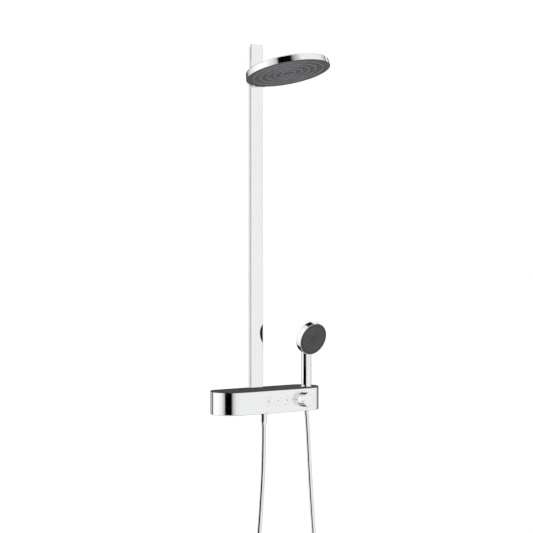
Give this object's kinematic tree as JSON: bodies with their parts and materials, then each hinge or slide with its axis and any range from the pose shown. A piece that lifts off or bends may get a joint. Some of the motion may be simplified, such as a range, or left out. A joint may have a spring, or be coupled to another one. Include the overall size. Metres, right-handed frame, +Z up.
{
  "type": "rainfall shower column",
  "caption": "Wall-mounted thermostatic shower column with a flat riser, a tilting rainfall overhead shower and a hand shower on a hose.",
  "frame": {"origin": "on the wall plane at the middle of the shelf unit's back face", "axes": "+X to the right seen from the front, +Y into the wall, +Z up along the riser"},
  "size_m": [0.4, 0.2906, 1.8605],
  "materials": {
    "chrome": "polished",
    "shelf_glass": "satin graphite",
    "steel": "brushed",
    "brass": "cast and machined",
    "rail_aluminium": "polished",
    "white_plastic": "moulded",
    "spray_face": "satin",
    "hand_face": "satin",
    "silicone": "matt",
    "red_ring": "gloss",
    "hose": "satin metal effect"
  },
  "bodies": {
    "root": {"tablet_housing": "chrome", "glass_shelf": "shelf_glass", "back_plate": "steel", "housing_screws": "steel", "shower_holder": "chrome", "valve_body": "brass", "inlet_union_left": "brass", "inlet_union_right": "brass", "inlet_filters": "steel", "thermostat_cartridge": "white_plastic", "select_valve_1": "white_plastic", "select_valve_2": "white_plastic", "select_valve_3": "white_plastic", "duct_coupling": "brass", "outlet_spigot": "brass", "outlet_washer": "silicone", "outlet_nut": "chrome", "hose_tube": "hose", "knob_base_ring": "chrome", "riser_rail": "rail_aluminium", "riser_cover": "chrome", "riser_end_cap": "chrome", "water_duct": "white_plastic", "upper_bracket": "chrome", "overhead_arm": "chrome", "tilt_pin": "steel"},
    "overhead": {"overhead_housing": "chrome", "overhead_spray_plate": "spray_face", "overhead_nozzle_mat": "silicone", "overhead_chamber": "white_plastic", "overhead_seal": "silicone", "overhead_screws": "steel"},
    "knob": {"temperature_knob": "chrome", "knob_ring": "red_ring", "knob_cap": "chrome"},
    "safety_stop": {"safety_stop_button": "chrome"},
    "button_left": {"select_button_1": "chrome"},
    "button_middle": {"select_button_2": "chrome"},
    "button_right": {"select_button_3": "chrome"},
    "hose_end": {"hand_nut": "chrome", "hand_washer": "silicone"},
    "hand_shower": {"hand_shower_shell": "chrome", "hand_spray_plate": "hand_face", "hand_nozzle_mat": "silicone", "hand_chamber": "white_plastic", "hand_inner_pipe": "white_plastic", "hand_connector": "white_plastic"},
    "spray_mode": {"mode_button": "chrome"}
  },
  "joints": [
    {"name": "overhead_tilt", "type": "hinge", "parent": "root", "child": "overhead", "pos_m": [0, -0.026, 0.983], "axis": [1, 0, 0], "range_deg": [-4, 26]},
    {"name": "temperature_turn", "type": "hinge", "parent": "root", "child": "knob", "pos_m": [0.103, -0.13, 0], "axis": [0, 1, 0], "range_deg": [-170, 80]},
    {"name": "safety_stop_press", "type": "slide", "parent": "knob", "child": "safety_stop", "axis": [0, 0, -1], "range_m": [0, 0.002], "stiffness_N_per_m": 400},
    {"name": "button_left_press", "type": "slide", "parent": "root", "child": "button_left", "axis": [0, 1, 0], "range_m": [0, 0.0025], "stiffness_N_per_m": 500},
    {"name": "button_middle_press", "type": "slide", "parent": "root", "child": "button_middle", "axis": [0, 1, 0], "range_m": [0, 0.0025], "stiffness_N_per_m": 500},
    {"name": "button_right_press", "type": "slide", "parent": "root", "child": "button_right", "axis": [0, 1, 0], "range_m": [0, 0.0025], "stiffness_N_per_m": 500},
    {"name": "hand_shower_lift", "type": "slide", "parent": "root", "child": "hose_end", "axis": [0, 0, 1], "range_m": [0, 0.14]},
    {"name": "hand_shower_swivel", "type": "hinge", "parent": "hose_end", "child": "hand_shower", "pos_m": [0.145, -0.081, 0], "axis": [0, 0, 1], "range_deg": [-90, 90]},
    {"name": "spray_mode_press", "type": "slide", "parent": "hand_shower", "child": "spray_mode", "axis": [0, 1, 0], "range_m": [0, 0.002], "stiffness_N_per_m": 400}
  ]
}
